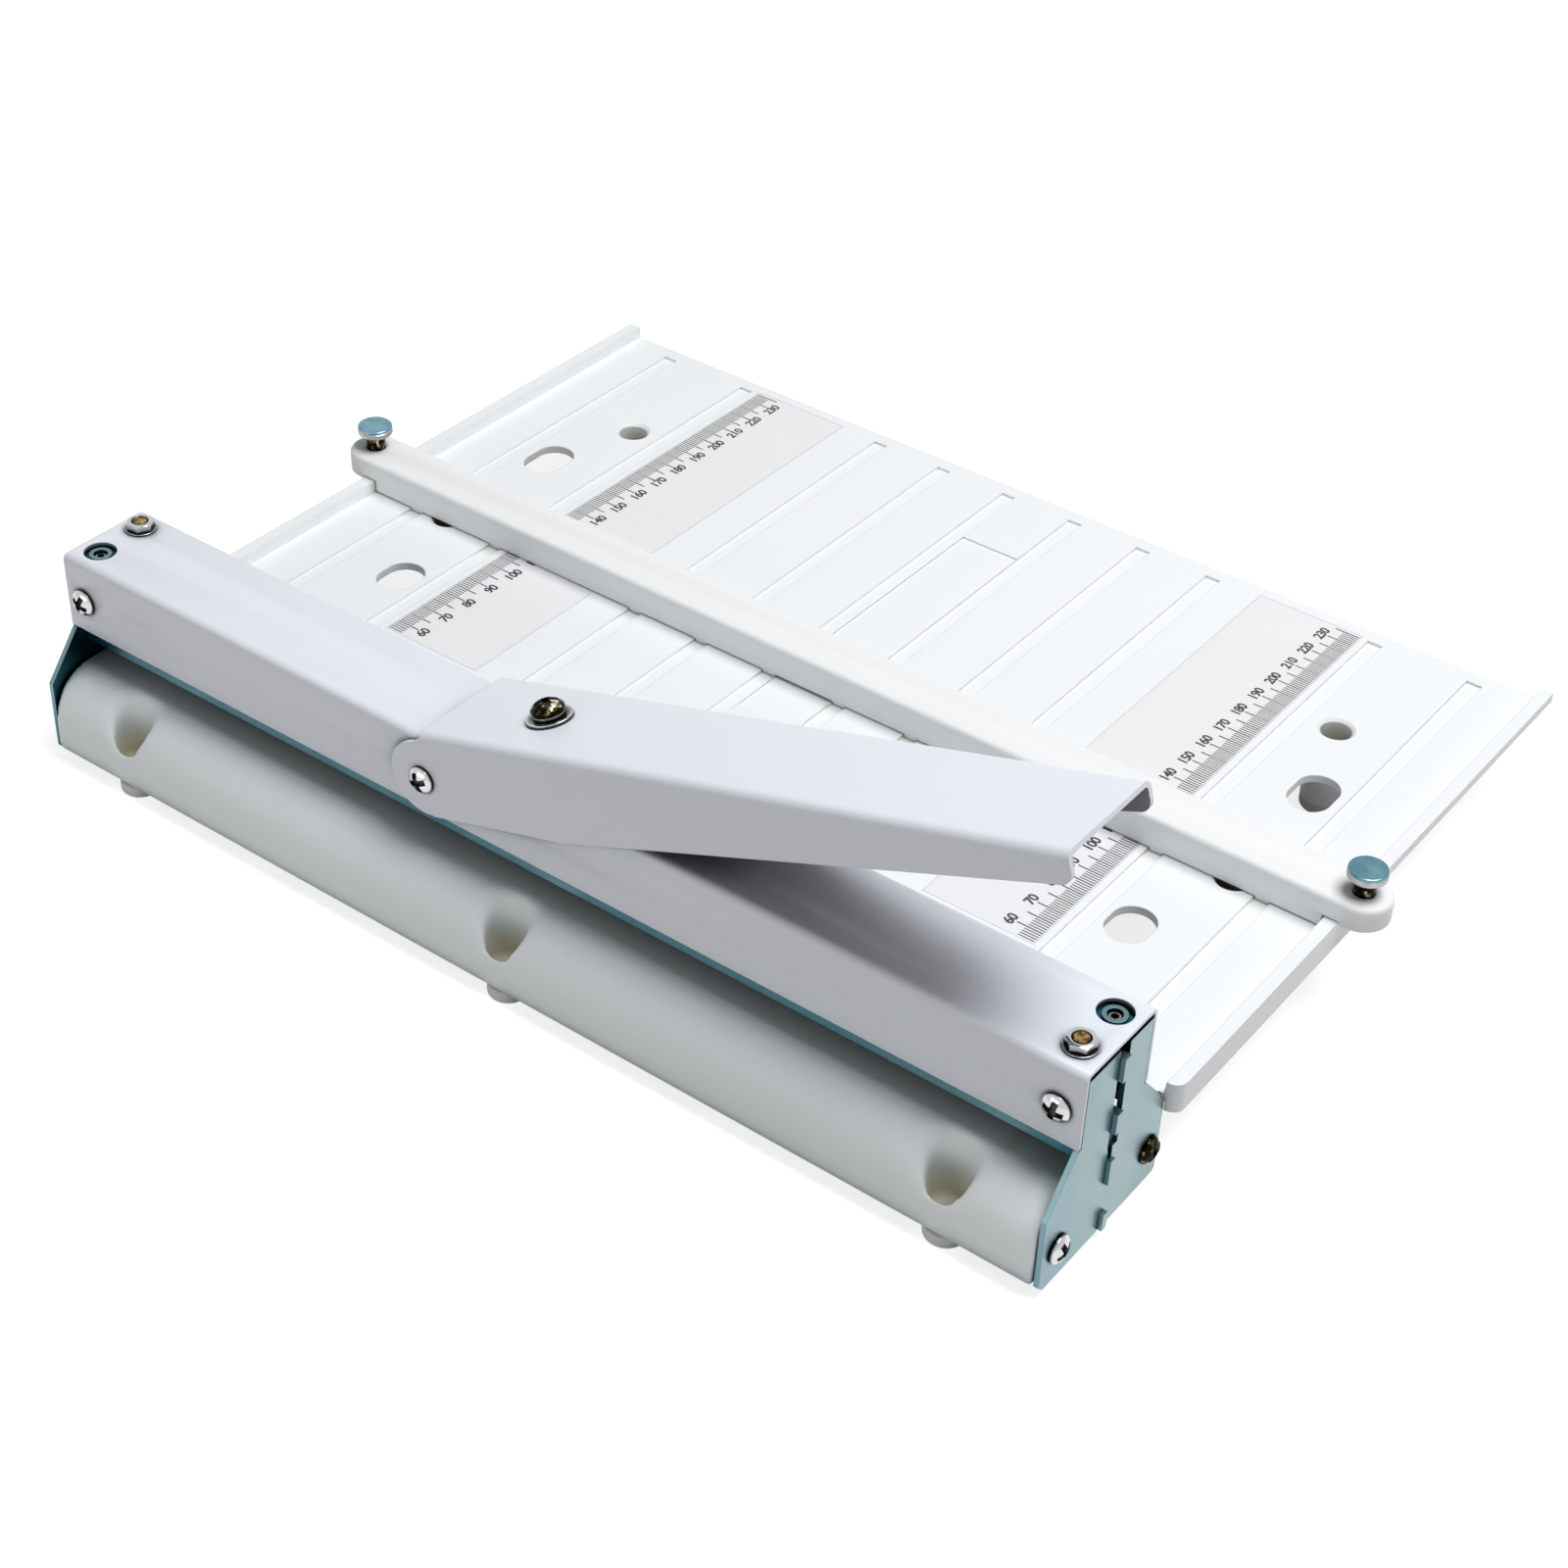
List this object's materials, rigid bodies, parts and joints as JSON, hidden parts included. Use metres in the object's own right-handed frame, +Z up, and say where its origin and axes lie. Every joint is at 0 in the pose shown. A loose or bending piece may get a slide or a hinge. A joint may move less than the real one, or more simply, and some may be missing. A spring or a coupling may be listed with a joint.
{
  "type": "desktop paper creasing machine",
  "caption": "Lever-pressed creasing machine for paper and card: a sprung press bar with a blunt blade over a grooved anvil, and a ruled bed with a sliding fence",
  "frame": {"origin": "middle of the machine's box, on the surface that it stands on", "axes": "+X to the right along the beam, +Y from the beam to the back of the bed, +Z up"},
  "size_m": [0.3654, 0.267, 0.1242],
  "materials": {
    "lavender_paint": "smooth satin powder paint",
    "zinc_plate": "blue-passivated zinc plate, faintly streaked",
    "white_plastic": "fine moulded texture",
    "scale_label": "printed satin label",
    "white_rubber": "smooth soft rubber",
    "screw_steel": "bright plated steel",
    "spring_steel": "drawn spring wire",
    "yellow_brass": "yellow-passivated thread",
    "black_nylon": "moulded nylon"
  },
  "bodies": {
    "base": {"beam": "lavender_paint", "side_plate_left": "zinc_plate", "side_plate_right": "zinc_plate", "anvil": "zinc_plate", "front_shroud": "white_plastic", "bed": "white_plastic", "ruler_scale_left": "scale_label", "ruler_scale_right": "scale_label", "front_feet": "white_rubber", "rear_feet": "white_rubber", "beam_screws": "screw_steel", "shroud_screws": "screw_steel", "bed_screws": "screw_steel", "guide_bolts": "yellow_brass", "guide_washers": "zinc_plate", "guide_nuts": "screw_steel", "return_springs": "spring_steel", "lever_pivot_screws": "screw_steel", "lever_pivot_nuts": "screw_steel"},
    "press_bar": {"press_channel": "zinc_plate", "crease_blade": "zinc_plate", "depth_screws": "screw_steel"},
    "lever": {"lever": "lavender_paint", "push_screw": "screw_steel", "push_spring_washer": "screw_steel", "push_washer": "zinc_plate", "push_pad": "black_nylon"},
    "fence": {"fence": "white_plastic"},
    "thumb_left": {"thumb_screw_left": "zinc_plate"},
    "thumb_right": {"thumb_screw_right": "zinc_plate"}
  },
  "joints": [
    {"name": "lever_hinge", "type": "hinge", "parent": "base", "child": "lever", "pos_m": [-0.032, -0.1059, 0.0521], "axis": [0, -1, 0], "range_deg": [-7.8, 0]},
    {"name": "press_slide", "type": "slide", "parent": "base", "child": "press_bar", "axis": [0, 0, 1], "range_m": [-0.0044, 0], "stiffness_N_per_m": 3000, "springref_m": 0.008, "deforming": ["return_springs"]},
    {"name": "fence_slide", "type": "slide", "parent": "base", "child": "fence", "axis": [0, 1, 0], "range_m": [-0.0559, 0.1228]},
    {"name": "thumb_left_turn", "type": "hinge", "parent": "fence", "child": "thumb_left", "pos_m": [-0.17455, 0.0094, 0.04], "axis": [0, 0, 1], "range_deg": [-180, 0]},
    {"name": "thumb_right_turn", "type": "hinge", "parent": "fence", "child": "thumb_right", "pos_m": [0.17455, 0.0094, 0.04], "axis": [0, 0, 1], "range_deg": [0, 180]}
  ],
  "couplings": [
    {"joint": "press_slide", "follows": "lever_hinge", "m_per_rad": 0.03232}
  ]
}
